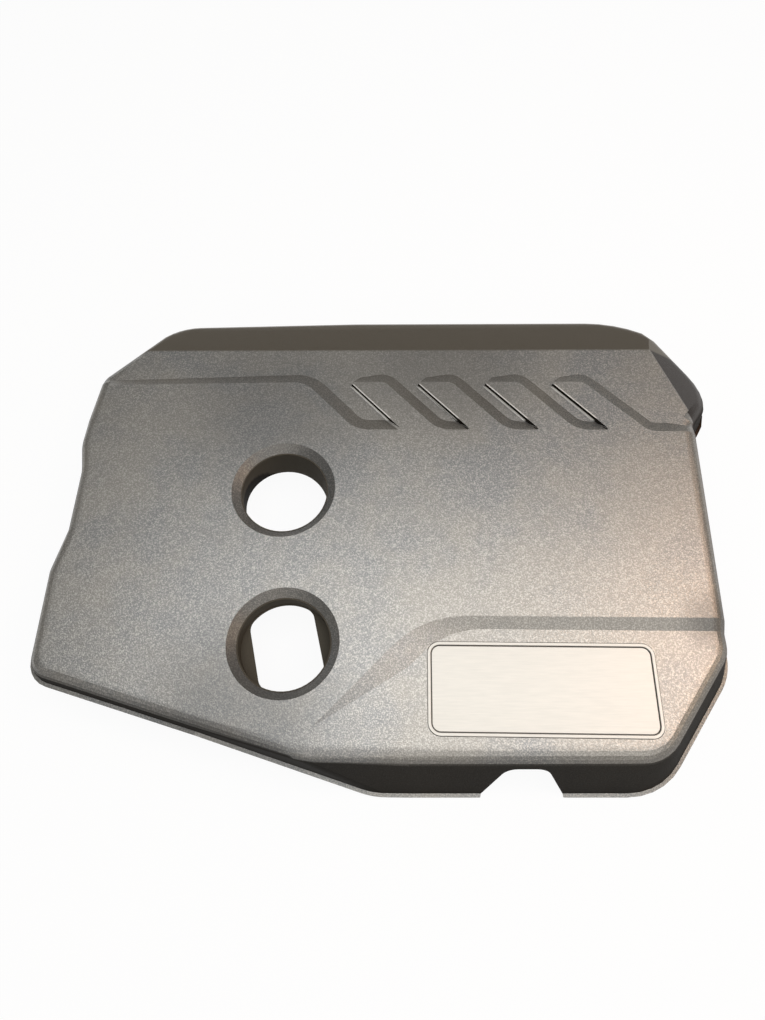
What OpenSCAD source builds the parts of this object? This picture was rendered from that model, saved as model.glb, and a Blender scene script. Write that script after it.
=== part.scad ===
// Engine cover: one thin-walled moulding with two reach-through holes, a row of
// scooped louvres behind a low ledge, a bare badge plate and four stud grommets.
// Millimetres. The cover rests on its rim at z = 0 and its front faces -Y.

/* [Cover] */
// Height of the main face above the lowest rim
face_h = 52; // [44:1:64]
// Middle to the left edge of the face
left_w = 257; // [250:1:285]
// Middle to the right edge of the face
right_w = 231; // [226:1:260]
// Middle to the front edge of the face
front_d = 179; // [172:1:200]
// Middle to the back edge of the back slope
back_d = 194; // [188:1:215]
// Thickness of the moulded wall
skin = 2.8; // [2:0.1:3.4]
// Size of the round between the face and the walls
edge_r = 9; // [5:0.5:10]
// Width of the lip along the rim
lip_w = 2.6; // [1:0.1:5]
// Height of the lip along the rim
lip_h = 2.4; // [1:0.1:5]
// How far the rim is raised at the front left corner
rim_lift = 34; // [10:1:36]

/* [Ledge and louvres] */
// Drop from the face to the ledge and the scoop floors
ledge_drop = 4; // [2:0.5:6]
// Front line of the ledge
ledge_y = 115.6; // [110:1:122]
// Width of the sloping wall down to the ledge
ledge_run = 7.2; // [4:0.2:10]
// Crease between the ledge and the back slope
crease_y = 150.5; // [144:1:158]
// Angle of the back slope
back_angle = 20; // [12:1:26]
// Angle of the slope behind the right shoulder
side_angle = 33; // [24:1:36]
// Distance from one louvre to the next
louvre_pitch = 54.7; // [48:0.5:58]
// Length of a louvre from the ledge to its tip
louvre_l = 45.2; // [36:0.5:52]
// Lean of the louvres from the X axis
louvre_angle = 46.5; // [42:0.5:55]
// Width of a louvre across its mouth
louvre_w = 26; // [18:0.5:32]

/* [Reach holes] */
// Radius of both bores
bore_r = 33; // [26:0.5:36]
// Width of the countersink round each bore
sink_w = 7; // [3:0.5:9]
// Depth of the countersink
sink_h = 6; // [3:0.5:8]
// Depth of the collar of the upper hole below the face
collar_h = 36; // [20:1:40]
// Depth of the collar of the lower hole below the face
cup_h = 20; // [14:1:30]
// Width between the two flats of the lower hole
flat_w = 47.5; // [40:0.5:60]
// Turn of the two flats
flat_turn = 14; // [0:1:20]

/* [Badge plate] */
// Length of the plate
plate_l = 156.4; // [120:0.2:165]
// Width of the plate
plate_w = 63.4; // [50:0.2:66]
// Thickness of the plate
plate_t = 2.8; // [2:0.1:4]
// Corner radius of the plate
plate_r = 8.5; // [5:0.5:14]
// Width of the raised border
border_w = 2.1; // [1.5:0.1:4]
// Depth of the plate's pocket
pocket_h = 2; // [0.6:0.1:2.2]
// Gap between the plate and its pocket
plate_gap = 0.4; // [0.2:0.1:0.8]
// Drop from the face to the recess that holds the plate
recess_drop = 4; // [2:0.5:5]
// Diameter of the plate's pins
pin_d = 4; // [3:0.5:5]

/* [Grommets] */
// Diameter of the ball stud socket
socket_d = 10; // [8:0.5:11]
// Depth of the socket
socket_h = 12; // [9:0.5:13]
// Outer diameter of the rubber
grommet_d = 20; // [18:0.5:22]
// Height of the lower face of the grommet bosses above the rest plane
boss_z = 20; // [12:1:24]

/* [Front arch and ribs] */
// Width of the arch at the rim
arch_w = 58; // [40:1:80]
// Width of the arch at its top
arch_top_w = 27; // [20:1:40]
// Height of the arch
arch_h = 36; // [25:1:41]
// Thickness of the ribs
rib_t = 1.8; // [1:0.1:3]
// Depth of the ribs below the face
rib_h = 12; // [6:1:18]

/* [Hidden] */
$fn = 64;
eps = 0.01;
far = 400;
rise = 0.4;
arc_steps = 5;
round_steps = 5;
least_r = 3;

floor_z = face_h - ledge_drop;
recess_z = face_h - recess_drop;

// Step in front of the ledge: its short part behind the shoulder starts at ledge_split,
// and left of ledge_bend it leans back a little
shoulder_y = 69;
ledge_split = 150;
ledge_bend = -75;
ledge_skew = 0.015;

// Where the fans that close the form from below and above meet
hub = [60, 20];

// Hole centres, the lean of the upper collar, how far a leaning bore runs up into its
// countersink, the small step under that, and the lip and corner radius of the lower mouth
upper_hole = [-87.6, 17.7];
lower_hole = [-79.2, -101.7];
collar_tilt = 4;
bore_over = 3;
sink_step = 0.6;
mouth_lip = 0.6;
mouth_soft = 10;

// Badge plate and its recess, whose left side runs obliquely to the front as a long ramp
plate_at = [100.2, -131.2];
step_margin = 18;
recess_back = plate_at[1] + plate_w / 2 + step_margin;
recess_run = 8.5;
oblique_from = [18.4, recess_back];
oblique_to = [-60, recess_back - 82];
oblique_run = 18;
oblique_r = 73;
fade_run = 69;
fade_r = 12;
recess_left = oblique_to[0] + fade_run;

// Right shoulder: its width beyond the face, a point of its crease and the way its slope faces
shoulder_w = 37.2;
shoulder_at = [right_w + 4.4, 83.5];
shoulder_face = [0.935, 0.356];

// Louvres: foot of the first riser, the run of a riser, and the radii of a mouth
louvre_x = -39.6;
louvre_count = 4;
riser_run = 0.6;
mouth_r = 8;
toe_r = 24;
tip_r = 0.8;

// The first louvre has a wider mouth with a longer wall
first_wider = 11;
first_run = 4;
first_r = 22;

// Foot of a riser where it meets the next louvre's wall
foot_in = [1.5, -1.6];
foot_out = [2.8, 0];

// Oblique end of the ledge behind the last louvre
last_gap = 2.4;
last_turn = 2;
last_r = 16;

// Plate: its seat, its raised border with a groove inside, and its four pins
plate_z = recess_z - pocket_h;
border_rise = 0.6;
groove_w = 0.8;
groove_h = 0.6;
pin_x = plate_l / 2 - 14;
pin_y = plate_w / 2 - 10;
pin_gap = 0.2;
head_h = 1.4;
head_d = pin_d + 3;
pad_margin = 4;

// Bosses and grommets
boss_at = [[-left_w + 51, 134], [right_w - 43, 134], [-left_w + 49, -60], [right_w - 35, -50]];
seat_gap = 0.3;
neck_d = grommet_d - 5.6;
boss_d = grommet_d + 2 * seat_gap + 2 * skin;
boss_floor = 2.5;
grommet_top = 13;
flange_h = 3;
lead_h = 1.5;

// Ribs under the face and the arch in the front wall
rib_x = [-left_w + 107, -10, 60, right_w - 91];
rib_y = [70, -30];
arch_x = 88.5;
arch_r = 11;
arch_foot = 7;

// Face outline, anticlockwise from the front left corner. Each point has its corner
// radius, the run of the wall below the edge that starts there, and its rim height.
face_edge = [
    [-left_w + 0.4, -front_d + 55, 14, 2.5, rim_lift],
    [-137, -front_d + 20.8, 0, 2.5, rim_lift],
    [-67, -front_d + 0.2, 50, 18, 0],
    [recess_left, -front_d + 0.5, 0, 18, 0],
    [right_w - 52, -front_d + 3.2, 30, 16, 0],
    [right_w - 1.2, -front_d + 74, 24, 16, 0],
    [right_w - 1.5, recess_back - recess_run, 0, 16, 0],
    [right_w - 1.2, recess_back, 0, 16, 0],
    [right_w + 3, shoulder_y, 0, 15.5, 0],
    [right_w + 3.6, 78, 4, 5.5, 0],
    [right_w + shoulder_w, 121, 32, 4, 0],
    [right_w - 33, back_d, 80, 3.2, 0],
    [-40, back_d, 0, 3.2, 0],
    [-left_w + 62, back_d - 5.2, 40, 6, 0],
    [-left_w + 8, 123, 15, 9, 0],
    [-left_w + 4.5, 82, 0, 9, 0],
    [-left_w + 3, 59, 40, 9, 0],
    [-left_w + 7.4, 36, 40, 9, 0],
    [-left_w + 7, -14, 15, 6.5, 0],
    [-left_w - 0.6, -51, 15, 4, rim_lift * 0.6]
];

// Plan geometry
function unit(v) = v / norm(v);
function cross2(a, b) = a[0] * b[1] - a[1] * b[0];
function outward(a, b) = let (u = unit(b - a)) [u[1], -u[0]];
function xy(p) = [p[0], p[1]];
function clamp(v) = min(max(v, 0), 1);

// Corner b of the path a, b, c after its two edges move outward by d1 and d2
function moved(a, b, c, d1, d2) =
    let (u = unit(b - a), v = unit(c - b), n1 = outward(a, b), n2 = outward(b, c), k = cross2(u, v))
    abs(k) < 0.08 ? b + (n1 * d1 + n2 * d2) / 2
                  : b + n1 * d1 + u * cross2(n2 * d2 - n1 * d1, v) / k;

// Arc of radius r that rounds corner b of the path a, b, c
function arc(a, b, c, r) =
    let (u = unit(a - b), v = unit(c - b), half = acos(u * v) / 2, centre = b + unit(u + v) * r / sin(half),
        d0 = b + u * r / tan(half) - centre, d1 = b + v * r / tan(half) - centre,
        a0 = atan2(d0[1], d0[0]), sweep = atan2(cross2(d0, d1), d0 * d1))
    [for (i = [0:arc_steps]) let (t = a0 + sweep * i / arc_steps) centre + r * [cos(t), sin(t)]];

// Outline of path with edge i moved outward by shift[i]. Round corners keep their centres.
function ring(path, shift) =
    let (n = len(path), p = [for (q = path) xy(q)],
        c = [for (i = [0:n - 1]) let (j = (i + n - 1) % n)
            moved(p[j], p[i], p[(i + 1) % n], shift[j], shift[i])])
    [for (i = [0:n - 1])
        let (j = (i + n - 1) % n, k = (i + 1) % n, turn = cross2(p[i] - p[j], p[k] - p[i]),
            mean = (shift[i] + shift[j]) / 2, r = path[i][2] + (turn > 0 ? mean : -mean))
        each path[i][2] == 0 ? [c[i]] : arc(c[j], c[i], c[k], max(r, min(path[i][2], least_r)))];

// Value of column k for each point of ring()
function spread(path, k) = [for (p = path) for (i = [0:(p[2] == 0 ? 0 : arc_steps)]) p[k]];

// Height of the moulded top at a point of the plan
function top_z(p, inset) =
    let (ledge_at = p[0] > ledge_split ? shoulder_y : ledge_y + min(p[0] - ledge_bend, 0) * ledge_skew,
        ledge = ledge_drop * clamp((p[1] + inset - ledge_at) / ledge_run),
        back = max(p[1] - crease_y, 0) * tan(back_angle),
        side = max((p - shoulder_at) * shoulder_face, 0) * tan(side_angle),
        recess = recess_drop * clamp(min((p[0] + inset - recess_left + fade_run) / fade_run,
            (recess_back + inset - p[1]) / recess_run)))
    min(face_h - recess, face_h - ledge - max(back, side)) - inset;

// Points and triangles between rings of the same length, closed by two fans
module loft(rings, low, high) {
    n = len(rings[0]);
    m = len(rings);
    pts = [for (r = rings) each r, low, high];
    sides = [for (k = [0:m - 2], i = [0:n - 1]) let (j = (i + 1) % n)
        each [[k * n + i, (k + 1) * n + i, (k + 1) * n + j], [k * n + i, (k + 1) * n + j, k * n + j]]];
    base = [for (i = [0:n - 1]) [n * m, i, (i + 1) % n]];
    lid = [for (i = [0:n - 1]) [n * m + 1, (m - 1) * n + (i + 1) % n, (m - 1) * n + i]];
    polyhedron(concat(pts), concat(sides, base, lid), convexity = 8);
}

// Walls and rounded edge of the cover, or of its cavity when inset is above zero
module body(inset) {
    runs = [for (p = face_edge) p[3]];
    none = [for (p = face_edge) 0];
    rim = spread(face_edge, 4);
    soft = edge_r - inset / 2;
    function level(d) = ring(face_edge, d);
    under = 6;
    grown = [for (p = face_edge) p[3] * (face_h - p[4] + under) / (face_h - p[4] - lip_h) - inset];
    foot = level(inset > 0 ? grown : runs);
    edge = level([for (r = runs) -inset]);
    flat = level([for (r = runs) -inset - soft]);
    n = len(foot);
    base_z = inset > 0 ? -under : lip_h;
    f = [for (i = [0:n - 1]) [foot[i][0], foot[i][1], rim[i] + base_z]];
    e = [for (i = [0:n - 1]) [edge[i][0], edge[i][1], top_z(edge[i], inset)]];
    t = [for (i = [0:n - 1]) [flat[i][0], flat[i][1], top_z(flat[i], inset)]];
    w = [for (i = [0:n - 1]) e[i] + unit(f[i] - e[i]) * soft];
    rounded = [for (k = [0:round_steps]) let (s = k / round_steps)
        [for (i = [0:n - 1]) w[i] * (1 - s) * (1 - s) + e[i] * 2 * s * (1 - s) + t[i] * s * s]];
    cap = [for (p = t) [p[0], p[1], face_h - inset]];
    lip = level([for (r = runs) r + lip_w]);
    lip_rings = [
        [for (i = [0:n - 1]) [lip[i][0], lip[i][1], rim[i]]],
        [for (i = [0:n - 1]) [lip[i][0], lip[i][1], rim[i] + lip_h * 0.75]]
    ];
    loft(concat(inset > 0 ? [] : lip_rings, [f], rounded, [cap]),
        [each hub, inset > 0 ? -under : 0], [each hub, face_h - inset]);
}

// Low zone: ledge and louvre scoops as one block with sloping front walls
module low_zone(inset) {
    along = [louvre_l / tan(louvre_angle), -louvre_l];
    feet = [for (k = [0:louvre_count - 1]) [louvre_x + k * louvre_pitch, ledge_y]];
    last = [louvre_x + louvre_count * louvre_pitch - louvre_w - last_gap, ledge_y];
    step = ledge_y - shoulder_y;
    // Points of the front line at face level: place, corner radius, run of the wall, scoop
    front = concat([[-far, ledge_y - (far + ledge_bend) * ledge_skew, 0, ledge_run, 0]],
        [for (k = [0:louvre_count - 1])
            let (w = louvre_w + (k == 0 ? first_wider : 0), run = ledge_run + (k == 0 ? first_run : 0),
                s = feet[k], a = s - [w, 0], b = a + along, t = s + along)
            each [[a[0], a[1], k == 0 ? first_r : mouth_r, run, k], [b[0], b[1], toe_r, run, k],
                [t[0], t[1], tip_r, riser_run, k],
                each inset > 0 ? [[s[0], s[1], 0, ledge_run, k]]
                    : [[each s + foot_in, 0, riser_run, k], [each s + foot_out, 0, ledge_run, k]]]],
        [[last[0], ledge_y, mouth_r, ledge_run, louvre_count],
            [last[0] + step / tan(louvre_angle - last_turn), shoulder_y, last_r, ledge_run, louvre_count],
            [far, shoulder_y, 0, 0, louvre_count]]);
    path = concat(front, [[far, far, 0, 0, louvre_count], [-far, far, 0, 0, 0]]);
    runs = [for (p = path) p[3]];
    one = [for (p = path) 1];
    low = ring(path, one * inset - runs);
    high = ring(path, one * inset + runs * rise / ledge_drop);
    n = len(low);
    m = n - 2;
    scoop = spread(path, 4);
    deep = 2 * ledge_run;
    hubs = concat([for (s = feet) [s[0] - louvre_w, ledge_y + deep]], [[last[0] + louvre_l, ledge_y + deep]],
        [[0, far * 0.75]]);
    h = len(hubs);
    z0 = floor_z - inset;
    z1 = face_h - inset + rise;
    pts = concat([for (p = low) [p[0], p[1], z0]], [for (p = high) [p[0], p[1], z1]],
        [for (p = hubs) [p[0], p[1], z0]], [for (p = hubs) [p[0], p[1], z1]]);
    // Floor triangles as [a, b, c] with hubs counted from n
    fans = [for (i = [0:m - 2]) [n + scoop[i], i, i + 1]];
    links = [for (i = [1:m - 1]) if (scoop[i] != scoop[i - 1]) [i, n + scoop[i], n + scoop[i - 1]]];
    band = concat([[n + h - 1, 0, n]], [for (k = [0:h - 3]) [n + h - 1, n + k, n + k + 1]],
        [[n + h - 1, n + h - 2, m - 1], [n + h - 1, m - 1, m], [n + h - 1, m, m + 1],
            [n + h - 1, m + 1, 0]]);
    cap = concat(fans, links, band);
    floor_faces = [for (f = cap) [for (i = f) i < n ? i : i + n]];
    top_faces = [for (f = cap) [for (i = [f[2], f[1], f[0]]) i < n ? i + n : i + n + h]];
    sides = [for (i = [0:n - 1]) let (j = (i + 1) % n) each [[i, i + n, j + n], [i, j + n, j]]];
    polyhedron(pts, concat(floor_faces, top_faces, sides), convexity = 8);
}

// Section of what lies above a slope that falls at an angle from the crease at [0, 0]
module above_slope(angle) {
    slope_l = 90;
    polygon([[-ledge_drop / tan(angle), ledge_drop], [slope_l, -slope_l * tan(angle)],
        [slope_l, face_h], [-ledge_drop / tan(angle), face_h]]);
}

// Everything above the slope that falls to the back
module back_slope(inset) {
    translate([-far, 0, 0]) rotate([90, 0, 90]) linear_extrude(2 * far)
        translate([crease_y, floor_z - inset]) above_slope(back_angle);
}

// Everything above the slope that falls outward behind the right shoulder
module side_slope(inset) {
    translate([shoulder_at[0], shoulder_at[1], 0]) rotate([0, 0, atan2(shoulder_face[1], shoulder_face[0])])
        rotate([90, 0, 0]) linear_extrude(2 * far, center = true)
            translate([0, floor_z - inset]) above_slope(side_angle);
}

// Recess of the badge plate: it opens to the front and right and fades out to the left
module recess(inset) {
    path = [
        [oblique_to[0], -far, 0, 0], [far, -far, 0, 0], [far, recess_back, 0, recess_run],
        [each oblique_from, oblique_r, oblique_run], [each oblique_to, fade_r, fade_run]
    ];
    runs = [for (p = path) p[3]];
    one = [for (p = path) 1];
    low = [for (p = ring(path, one * inset - runs)) [each p, recess_z - inset]];
    high = [for (p = ring(path, one * inset + runs * rise / recess_drop)) [each p, face_h - inset + rise]];
    loft([low, high], [each plate_at, recess_z - inset], [each plate_at, face_h - inset + rise]);
}

// Outer form of the moulding, or of its cavity
module form(inset) {
    difference() {
        body(inset);
        low_zone(inset);
        back_slope(inset);
        side_slope(inset);
        recess(inset);
    }
}

module rounded_rect(l, w, r) {
    square([l - 2 * r, w], center = true);
    square([l, w - 2 * r], center = true);
    for (x = [-1, 1], y = [-1, 1]) translate([x * (l / 2 - r), y * (w / 2 - r)]) circle(r);
}

module at_pins() {
    for (x = [-pin_x, pin_x], y = [-pin_y, pin_y]) translate([each plate_at + [x, y], 0]) children();
}

// Collar round a hole, down to a depth below the face
module collar(depth, tilt) {
    translate([0, 0, face_h - sink_h]) rotate([0, tilt, 0])
        translate([0, 0, sink_h - depth]) cylinder(h = depth - skin, r = bore_r + skin);
    translate([0, 0, face_h - sink_h - skin])
        cylinder(h = sink_h + skin, r1 = bore_r + skin + sink_step, r2 = bore_r + sink_w + skin);
}

// Solid that stays inside the cavity: collars, ribs and the pad of the plate
module inner_solids() {
    translate([each upper_hole, 0]) collar(collar_h, collar_tilt);
    translate([each lower_hole, 0]) collar(cup_h, 0);
    for (x = rib_x) translate([x - rib_t / 2, -far, face_h - rib_h]) cube([rib_t, 2 * far, rib_h]);
    for (y = rib_y) translate([-far, y - rib_t / 2, face_h - rib_h]) cube([2 * far, rib_t, rib_h]);
    translate([each plate_at, plate_z - skin]) linear_extrude(skin)
        rounded_rect(plate_l + 2 * pad_margin, plate_w + 2 * pad_margin, plate_r + pad_margin);
}

module cavity() {
    difference() {
        form(skin);
        inner_solids();
    }
}

// Arch in the front wall, as an outline in X and Z
module arch() {
    out = arch_w / 2 + arch_foot;
    path = [[-out, -far, 0], [out, -far, 0], [out, -1, 0], [arch_w / 2, 1, arch_foot - 2],
        [arch_top_w / 2, arch_h, arch_r], [-arch_top_w / 2, arch_h, arch_r], [-arch_w / 2, 1, arch_foot - 2],
        [-out, -1, 0]];
    translate([arch_x, -front_d + arch_r, 0]) rotate([90, 0, 0]) linear_extrude(front_d)
        polygon(ring(path, [for (p = path) 0]));
}

// Countersunk bore that opens a collar of this depth
module sunk_bore(depth, tilt) {
    slope = (sink_w - sink_step) / sink_h;
    translate([0, 0, face_h - sink_h]) rotate([0, tilt, 0])
        translate([0, 0, sink_h - depth - 1]) cylinder(h = depth - sink_h + 1 + bore_over, r = bore_r);
    translate([0, 0, face_h - sink_h])
        cylinder(h = sink_h + 1, r1 = bore_r + sink_step, r2 = bore_r + sink_w + slope);
}

// Mouth of the lower hole: the bore between two flats, with soft corners
module flat_mouth() {
    offset(r = mouth_soft) offset(r = -mouth_soft) intersection() {
        circle(bore_r - mouth_lip);
        rotate(flat_turn) square([flat_w, 3 * bore_r], center = true);
    }
}

module cover_shell() {
    color([0.33, 0.33, 0.32]) difference() {
        form(0);
        cavity();
        translate([each upper_hole, 0]) sunk_bore(collar_h, collar_tilt);
        translate([each lower_hole, 0]) {
            sunk_bore(cup_h - skin, 0);
            translate([0, 0, face_h - cup_h - 1]) linear_extrude(cup_h) flat_mouth();
        }
        arch();
        translate([each plate_at, plate_z]) linear_extrude(face_h)
            rounded_rect(plate_l + 2 * plate_gap, plate_w + 2 * plate_gap, plate_r + plate_gap);
        at_pins() translate([0, 0, plate_z - skin - 1]) cylinder(h = skin + 2, d = pin_d + 2 * pin_gap);
    }
}

// Outline of the plate, drawn in by a margin
module plate_form(margin) {
    rounded_rect(plate_l - 2 * margin, plate_w - 2 * margin, plate_r - margin);
}

module badge_plate() {
    pin_h = skin + pin_gap + head_h;
    color([0.75, 0.75, 0.72]) translate([0, 0, plate_z]) {
        translate([each plate_at, 0]) difference() {
            linear_extrude(plate_t) plate_form(0);
            translate([0, 0, plate_t - border_rise]) linear_extrude(plate_t) plate_form(border_w);
            translate([0, 0, plate_t - border_rise - groove_h]) linear_extrude(plate_t) difference() {
                plate_form(border_w);
                plate_form(border_w + groove_w);
            }
        }
        at_pins() {
            translate([0, 0, -pin_h]) cylinder(h = pin_h + plate_t / 2, d = pin_d);
            translate([0, 0, -pin_h]) cylinder(h = head_h, d = head_d);
        }
    }
}

// Hollow boss that stands below the face, or below the ledge behind its step
module boss(k) {
    top = (boss_at[k][1] > ledge_y ? floor_z : face_h) - skin;
    color([0.33, 0.33, 0.32]) translate([each boss_at[k], boss_z]) difference() {
        cylinder(h = top - boss_z, d = boss_d);
        translate([0, 0, boss_floor]) cylinder(h = top, d = grommet_d + 2 * seat_gap);
        translate([0, 0, -1]) cylinder(h = top, d = neck_d + 2 * seat_gap);
    }
}

module boss_rear_left() boss(0);
module boss_rear_right() boss(1);
module boss_front_left() boss(2);
module boss_front_right() boss(3);

// Rubber grommet that grips the floor of a boss and takes a ball stud from below
module grommet(k) {
    top = boss_z + boss_floor + seat_gap;
    low = boss_z - seat_gap;
    color([0.1, 0.1, 0.1]) translate([each boss_at[k], 0]) difference() {
        union() {
            translate([0, 0, top]) cylinder(h = grommet_top, d = grommet_d);
            translate([0, 0, low]) cylinder(h = top - low, d = neck_d);
            translate([0, 0, low - flange_h]) cylinder(h = flange_h, d = grommet_d);
        }
        translate([0, 0, low - flange_h]) cylinder(h = socket_h, d = socket_d);
        translate([0, 0, low - flange_h - eps])
            cylinder(h = lead_h, d1 = socket_d + 2 * lead_h, d2 = socket_d);
    }
}

module grommet_rear_left() grommet(0);
module grommet_rear_right() grommet(1);
module grommet_front_left() grommet(2);
module grommet_front_right() grommet(3);

cover_shell();
badge_plate();
boss_rear_left();
boss_rear_right();
boss_front_left();
boss_front_right();
grommet_rear_left();
grommet_rear_right();
grommet_front_left();
grommet_front_right();
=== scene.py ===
# Car engine cover: a moulded shell with louvres and two reach-through holes, four hollow
# bosses below it, a bare badge plate in its front recess and four rubber grommets in the
# bosses, on a pale studio floor.
import math

import bmesh
import bpy
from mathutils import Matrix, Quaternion, Vector


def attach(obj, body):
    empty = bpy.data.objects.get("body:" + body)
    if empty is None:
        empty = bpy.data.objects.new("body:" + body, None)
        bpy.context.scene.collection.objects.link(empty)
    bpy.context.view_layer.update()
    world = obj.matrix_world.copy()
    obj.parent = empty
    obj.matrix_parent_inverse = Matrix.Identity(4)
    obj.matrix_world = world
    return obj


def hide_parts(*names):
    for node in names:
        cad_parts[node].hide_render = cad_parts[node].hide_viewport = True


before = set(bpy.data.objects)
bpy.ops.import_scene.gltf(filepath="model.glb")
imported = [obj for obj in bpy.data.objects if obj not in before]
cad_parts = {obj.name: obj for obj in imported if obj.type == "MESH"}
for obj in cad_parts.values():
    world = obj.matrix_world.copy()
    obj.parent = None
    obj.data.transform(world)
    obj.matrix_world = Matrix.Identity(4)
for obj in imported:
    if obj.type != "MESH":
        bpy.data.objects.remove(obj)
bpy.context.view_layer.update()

MM = 0.001


# Camera: it looks steeply down from the front, a little to the left and a little tilted,
# as the photograph was taken. The long side of the picture is 36 mm of the sensor.
camera = bpy.data.objects.new("camera", bpy.data.cameras.new("camera"))
bpy.context.collection.objects.link(camera)
camera.location = Vector((5.74, -222.67, 541.98)) * MM
aim = Vector((-11, 0, 52)) * MM - camera.location
tilt = Quaternion((0, 0, 1), math.radians(-3.67))
camera.rotation_mode = "QUATERNION"
camera.rotation_quaternion = aim.to_track_quat("-Z", "Y") @ tilt
camera.data.sensor_width = 36
camera.data.lens = 25.165
camera.data.clip_start, camera.data.clip_end = 0.01, 20
bpy.context.scene.camera = camera
bpy.context.scene.view_settings.view_transform = "Standard"


# Cover shell: injection-moulded glass-filled nylon, 2.8 mm thick, its face painted a satin
# metallic grey. Handling has left it blotchy; painted shade darkens its back, right shoulder
# and steep walls, and painted highlights run along its louvre risers.
def linear(code):
    """An sRGB hex colour as linear red, green, blue and alpha."""
    parts = [int(code[i:i + 2], 16) / 255 for i in (1, 3, 5)]
    return [p / 12.92 if p <= 0.04045 else ((p + 0.055) / 1.055) ** 2.4 for p in parts] + [1]


def add_node(tree, kind, settings=None, **inputs):
    """A new shader node. Its inputs are plain values, or other nodes' sockets to link."""
    made = tree.nodes.new("ShaderNode" + kind)
    for key, value in (settings or {}).items():
        setattr(made, key, value)
    for key, value in inputs.items():
        socket = made.inputs[int(key[1:]) if key[1:].isdigit() else key.replace("_", " ")]
        if isinstance(value, bpy.types.NodeSocket):
            tree.links.new(value, socket)
        else:
            socket.default_value = value
    return made


def blended(tree, factor, first, second):
    """The colour socket of two colours mixed by a factor."""
    return add_node(tree, "Mix", {"data_type": "RGBA"}, _0=factor, _6=first, _7=second).outputs[2]


def stretched(tree, value, low, high, to_low=0.0, to_high=1.0):
    """A value moved from one range to another, with its ends held."""
    return add_node(tree, "MapRange", {"interpolation_type": "SMOOTHSTEP"}, _0=value,
                    _1=low, _2=high, _3=to_low, _4=to_high).outputs[0]


def maths(tree, operation, first, second):
    """The result of a sum on two values."""
    return add_node(tree, "Math", {"operation": operation}, _0=first, _1=second).outputs[0]


def measured(tree, operation, first, second):
    """One value from two vectors, such as their distance."""
    made = add_node(tree, "VectorMath", {"operation": operation}, _0=first, _1=second)
    return made.outputs["Value"]


def split(tree, vector):
    """The three parts of a vector."""
    return add_node(tree, "SeparateXYZ", Vector=vector).outputs


def new_material(name):
    """An empty material, its shader and its Object coordinates."""
    material = bpy.data.materials.new(name)
    material.use_nodes = True
    tree = material.node_tree
    shader = tree.nodes["Principled BSDF"]
    place = add_node(tree, "TexCoord").outputs["Object"]
    return material, tree, shader, place


def merged_copy(node, joined=0.01 * MM, shortest=0.02 * MM, flat=0.6):
    """A bmesh of a CAD node's triangles, joined at their corners and cleared of flat seams."""
    made = bmesh.new()
    made.from_mesh(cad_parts[node].data)
    bmesh.ops.remove_doubles(made, verts=made.verts, dist=joined)
    bmesh.ops.dissolve_degenerate(made, edges=made.edges, dist=shortest)
    bmesh.ops.dissolve_limit(made, verts=made.verts, edges=made.edges,
                             angle_limit=math.radians(flat))
    return made


def set_normals(mesh, thin=4.5 * MM, flat=11, round_off=20):
    """Normals weighted by area: thin facets of a round blend into their neighbours, while two
    wide faces blend only where they are nearly flat, so that a shallow crease stays crisp."""
    faces = mesh.polygons
    around = [[] for _ in mesh.vertices]
    width = []
    for face in faces:
        ends = [[mesh.vertices[i].co for i in key] for key in face.edge_keys]
        width.append(2 * face.area / max((a - b).length for a, b in ends))
        for i in face.vertices:
            around[i].append(face.index)
    near, far = math.cos(math.radians(flat)), math.cos(math.radians(round_off))
    normals = []
    for face in faces:
        for i in face.vertices:
            total = face.normal * face.area
            for k in around[i]:
                level = near if min(width[face.index], width[k]) > thin else far
                if k != face.index and face.normal.dot(faces[k].normal) > level:
                    total = total + faces[k].normal * faces[k].area
            normals.append(total.normalized())
    mesh.normals_split_custom_set(normals)


def finished(name, shape, node, material):
    """Makes a piece from a bmesh, in place of a CAD node."""
    mesh = bpy.data.meshes.new(name)
    shape.to_mesh(mesh)
    shape.free()
    mesh.materials.append(material)
    piece = bpy.data.objects.new(name, mesh)
    bpy.context.collection.objects.link(piece)
    mesh.shade_smooth()
    set_normals(mesh)
    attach(piece, "root")
    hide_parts(node)


def riser_highlight_lines(tree, place):
    """Thin lines of painted highlight along both sides of the sharp risers of the four louvres."""
    across_risers = (0.7254, 0.6884, 0)
    first_riser, riser_pitch = 50.6 * MM, 39.68 * MM
    solid, faded = 0.9 * MM, 1.4 * MM
    across = measured(tree, "DOT_PRODUCT", place, across_risers)
    away = maths(tree, "PINGPONG", maths(tree, "SUBTRACT", across, first_riser), riser_pitch / 2)
    mask = stretched(tree, away, solid, faded, 1, 0)
    x, y, _ = split(tree, place)
    # Where the lines start and stop along each axis, in mm
    borders = ((x, -42, -40, 0, 1), (x, 162, 164, 1, 0), (y, 80, 82, 0, 1), (y, 112, 115, 1, 0))
    for value, low, high, before, after in borders:
        limit = stretched(tree, value, low * MM, high * MM, before, after)
        mask = maths(tree, "MULTIPLY", mask, limit)
    return mask


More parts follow.
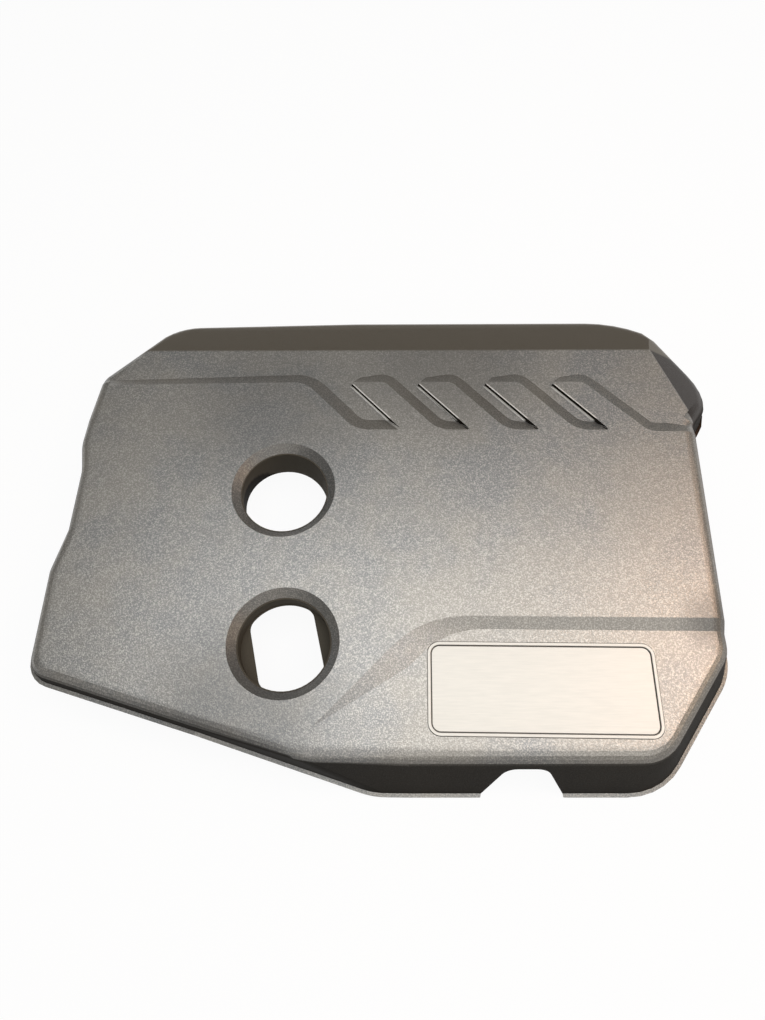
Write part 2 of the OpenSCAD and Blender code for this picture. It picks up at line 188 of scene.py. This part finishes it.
def painted_nylon():
    """Satin metallic grey paint on black nylon. To the eye it is a cool grey with warm clouds,
    pale grains of metal and darker patches, partly stains and partly painted shade. Painted
    shade darkens the back slope and right shoulder, and painted highlights line the risers.
    Steep walls look near black, partly bare nylon and partly painted shade."""
    material, tree, shader, place = new_material("painted_nylon")
    _, y, z = split(tree, place)
    # Clouds of about 110 mm. The grain of such a face is a few tenths of a millimetre; it is
    # drawn coarser, about 1 mm, so that it shows.
    blotch = add_node(tree, "TexNoise", Vector=place, Scale=9, Detail=4, Roughness=0.65).outputs[0]
    grain = add_node(tree, "TexNoise", Vector=place, Scale=950, Detail=2, Roughness=0.7).outputs[0]
    paint = blended(tree, stretched(tree, blotch, 0.38, 0.62), linear("#7f8182"), linear("#8f8d88"))
    paint = blended(tree, stretched(tree, grain, 0.4, 0.75), paint, linear("#b9b7b2"))

    # Darker patches, partly stains and partly painted shade, mostly on the back and left of the face:
    # middle and reach in mm, and depth
    stains_and_shade = (((-105, -150, 50), 95, 0.5), ((-95, 90, 50), 110, 0.3),
              ((40, 135, 50), 110, 0.35), ((222, -82, 50), 30, 0.45))
    core = 0.2
    for middle, reach, depth in stains_and_shade:
        away = measured(tree, "DISTANCE", place, Vector(middle) * MM)
        darker_patch = stretched(tree, away, core * reach * MM, reach * MM, depth, 0)
        paint = blended(tree, darker_patch, paint, linear("#4f5050"))

    # Painted shade: the paint is darkened and browned on the right shoulder and on the back slope,
    # which face away from the light
    across_shaded_shoulder = (0.935, 0.356, 0)
    shaded_shoulder_line, shaded_back_crease = (249.5 * MM, 251.5 * MM), (149 * MM, 152 * MM)
    aside = measured(tree, "DOT_PRODUCT", place, across_shaded_shoulder)
    paint = blended(tree, stretched(tree, aside, *shaded_shoulder_line), paint, linear("#2b2119"))
    paint = blended(tree, stretched(tree, y, *shaded_back_crease), paint, linear("#706a5f"))
    # Painted highlights: pale lines along both sides of each louvre riser
    riser_highlight = riser_highlight_lines(tree, place)
    paint = blended(tree, riser_highlight, paint, linear("#e4e3df"))

    # Paint covers what faces up. Steeper faces are near black, partly bare nylon and partly
    # painted shade; the bores of the two holes are a paler grey-brown.
    _, _, up = split(tree, add_node(tree, "NewGeometry").outputs["Normal"])
    paint_and_shade_mask = stretched(tree, up, 0.3, 0.88)
    bare_and_shade = linear("#1b1814")
    hole_middles = ((-87.6, 17.7, 0), (-79.2, -101.7, 0))
    bore_edge = (33.7 * MM, 34 * MM)
    level = add_node(tree, "VectorMath", {"operation": "MULTIPLY"}, _0=place, _1=(1, 1, 0)).outputs[0]
    for middle in hole_middles:
        away = measured(tree, "DISTANCE", level, Vector(middle) * MM)
        outside = stretched(tree, away, *bore_edge)
        bare_and_shade = blended(tree, outside, linear("#4a463e"), bare_and_shade)
        paint_and_shade_mask = maths(tree, "MULTIPLY", paint_and_shade_mask, outside)

    # The foot of each riser gets a painted highlight too, on the upper side of the shell only
    riser_foot, upper_side = (49.1 * MM, 49.4 * MM), (0.02, 0.1)
    foot = maths(tree, "MULTIPLY", riser_highlight, stretched(tree, z, *riser_foot, 1, 0))
    foot = maths(tree, "MULTIPLY", foot, stretched(tree, up, *upper_side))
    bare_and_shade = blended(tree, foot, bare_and_shade, linear("#d2d1cd"))

    tree.links.new(blended(tree, paint_and_shade_mask, bare_and_shade, paint), shader.inputs["Base Color"])
    gloss = (("Metallic", 0, 0.8), ("Roughness", 0.75, 0.38), ("Specular IOR Level", 0.08, 0.5))
    for socket, on_bare, on_paint in gloss:
        tree.links.new(stretched(tree, paint_and_shade_mask, 0, 1, on_bare, on_paint), shader.inputs[socket])
    bump = add_node(tree, "Bump", Strength=0.5, Distance=0.3 * MM, Height=grain)
    tree.links.new(bump.outputs[0], shader.inputs["Normal"])
    return material


def widen_walls(shape, floor=48 * MM, ends=(-230 * MM, 215 * MM), by=3 * MM):
    """Runs the sloping walls of the ledge and the louvres further out over their floor. The
    foot of each wall moves away from it, apart from its ends at the risers and at the sides."""
    front, back = 60 * MM, 130 * MM
    steepest, gentlest = 0.86, 0.95  # up part of the sloping walls' normals
    still, full = 0.945, 0.875  # up part at which a foot stays, and at which it moves by it all
    for side in ends:
        bmesh.ops.bisect_plane(shape, geom=shape.verts[:] + shape.edges[:] + shape.faces[:],
                               plane_co=(side, 0, 0), plane_no=(1, 0, 0))
    shape.normal_update()
    moves = {}
    for point in shape.verts:
        if abs(point.co.z - floor) > 0.05 * MM or not front < point.co.y < back:
            continue
        if not ends[0] + MM < point.co.x < ends[1] + MM:
            continue
        walls = [f.normal for f in point.link_faces if f.normal.z < 0.99]
        if walls and all(steepest < n.z < gentlest for n in walls):
            out = sum(walls, Vector())
            share = min(max((still - out.z / len(walls)) / (still - full), 0), 1)
            moves[point] = Vector((out.x, out.y, 0)).normalized() * by * share
    for point, step in moves.items():
        point.co += step
    shape.normal_update()


nylon = painted_nylon()
shell = merged_copy("cover_shell")
widen_walls(shell)
finished("cover_shell_moulding", shell, "cover_shell", nylon)


# Bosses: hollow nylon posts of the same moulding, which stand below the face and hold the
# grommets. No paint reaches them.
places = ("rear_left", "rear_right", "front_left", "front_right")
for corner in places:
    post = merged_copy("boss_" + corner)
    finished("post_" + corner, post, "boss_" + corner, nylon)


# Badge plate: a bare moulded plate with a satin silver finish, a raised border and a fine
# groove inside it. It lies in a pocket and four headed pins hold it from below.
def soften(shape, width, smallest):
    """Rounds the outward edges that turn by more than the smallest angle, in degrees."""
    smallest = math.radians(smallest)
    sharp = [e for e in shape.edges if e.is_manifold and e.calc_face_angle_signed(0) > smallest]
    bmesh.ops.bevel(shape, geom=sharp, offset=width, offset_type="OFFSET", affect="EDGES",
                    segments=2, profile=0.5, material=-1, clamp_overlap=False)


def silver_plate():
    """Satin silver lacquer on ABS: to the eye warmer and cleaner than the cover, with faint
    lines along it and painted shade in the groove. The lines are drawn coarser than real, about 1 mm."""
    material, tree, shader, place = new_material("silver_plate")
    drawn = add_node(tree, "Mapping", Vector=place, Scale=(0.08, 1, 1)).outputs[0]
    streak = add_node(tree, "TexNoise", Vector=drawn, Scale=900, Detail=2).outputs[0]
    colour = blended(tree, streak, linear("#c0c0bb"), linear("#d0cec8"))
    groove_shade = (47.7 * MM, 48 * MM)
    _, _, z = split(tree, place)
    # Painted shade in the groove: below its lip the plate turns dark brown
    colour = blended(tree, stretched(tree, z, *groove_shade), linear("#35312b"), colour)
    tree.links.new(colour, shader.inputs["Base Color"])
    shader.inputs["Metallic"].default_value = 0.3
    shader.inputs["Roughness"].default_value = 0.38
    return material


plate = merged_copy("badge_plate")
soften(plate, 0.25 * MM, 40)
finished("badge_plate_face", plate, "badge_plate", silver_plate())


# Grommets: soft black rubber rings pushed into the bosses. Each takes a ball stud from below.
def grommet_rubber():
    """Matte carbon-black rubber, which to the eye has a faint bloom in patches of 6 mm."""
    material, tree, shader, place = new_material("grommet_rubber")
    bloom = add_node(tree, "TexNoise", Vector=place, Scale=160, Detail=3).outputs[0]
    colour = blended(tree, stretched(tree, bloom, 0.4, 0.7), linear("#191919"), linear("#2b2a29"))
    tree.links.new(colour, shader.inputs["Base Color"])
    shader.inputs["Roughness"].default_value = 0.8
    return material


rubber = grommet_rubber()
for corner in places:
    ring = merged_copy("grommet_" + corner)
    soften(ring, 0.5 * MM, 60)
    finished("rubber_" + corner, ring, "grommet_" + corner, rubber)


# Studio floor: a plain white sheet. Camera, glossy and transmission rays see mostly its own
# even white, and the rest of it keeps the soft shadow. It lies just below the rim, so that
# the two faces don't share a plane.
half_width, drop = 6, 0.2 * MM
floor_shape = bmesh.new()
bmesh.ops.create_grid(floor_shape, x_segments=1, y_segments=1, size=half_width)
bmesh.ops.translate(floor_shape, verts=floor_shape.verts, vec=(0, 0, -drop))
floor_mesh = bpy.data.meshes.new("floor")
floor_shape.to_mesh(floor_mesh)
floor_shape.free()
floor = bpy.data.objects.new("floor", floor_mesh)
bpy.context.collection.objects.link(floor)
sheet, sheet_tree, sheet_shader, _ = new_material("white_sheet")
sheet_shader.inputs["Base Color"].default_value = linear("#e8e8e8")
sheet_shader.inputs["Roughness"].default_value = 0.9
glow = add_node(sheet_tree, "Emission", Color=linear("#ffffff"), Strength=1.0).outputs[0]
rays = add_node(sheet_tree, "LightPath").outputs
seen = rays["Is Camera Ray"]
for kind in ("Is Glossy Ray", "Is Transmission Ray"):
    seen = maths(sheet_tree, "MAXIMUM", seen, rays[kind])
share = maths(sheet_tree, "MULTIPLY", seen, 0.94)
mixed = add_node(sheet_tree, "MixShader", _0=share, _1=sheet_shader.outputs[0], _2=glow).outputs[0]
sheet_tree.links.new(mixed, sheet_tree.nodes["Material Output"].inputs["Surface"])
floor_mesh.materials.append(sheet)


# Lamps: a wide soft box overhead, another at the front and two small warm ones at the right,
# in an even grey room that is paler overhead.
def soft_box(name, place, target, size, power, colour):
    """A rectangular area lamp that faces a target."""
    lamp = bpy.data.lights.new(name, "AREA")
    lamp.shape = "RECTANGLE"
    lamp.size, lamp.size_y = size
    lamp.energy = power
    lamp.color = linear(colour)[:3]
    box = bpy.data.objects.new(name, lamp)
    box.location = place
    box.rotation_mode = "QUATERNION"
    box.rotation_quaternion = (Vector(target) - Vector(place)).to_track_quat("-Z", "Y")
    bpy.context.collection.objects.link(box)


soft_box("overhead", (0.3, 0.11, 1.3), (0.3, 0.11, 0), (1.8, 0.6), 11, "#fdfbf8")
soft_box("front", (0.15, -0.85, 0.95), (0.0, -0.15, 0.05), (1.7, 0.9), 5.0, "#fbf7f2")
soft_box("warm_side", (0.8, 0.1, 1.0), (0.2, -0.1, 0), (0.4, 0.4), 2.2, "#ffb878")
soft_box("warm_low", (1.1, -0.15, 0.5), (-0.1, -0.05, 0.05), (0.4, 0.3), 0.8, "#ffdcb4")

world = bpy.data.worlds.new("room")
world.use_nodes = True
bpy.context.scene.world = world
room_tree = world.node_tree
_, _, height = split(room_tree, add_node(room_tree, "TexCoord").outputs["Generated"])
room = blended(room_tree, stretched(room_tree, height, 0.6, 1), linear("#87847f"), linear("#a9acb0"))
room_tree.links.new(room, room_tree.nodes["Background"].inputs["Color"])
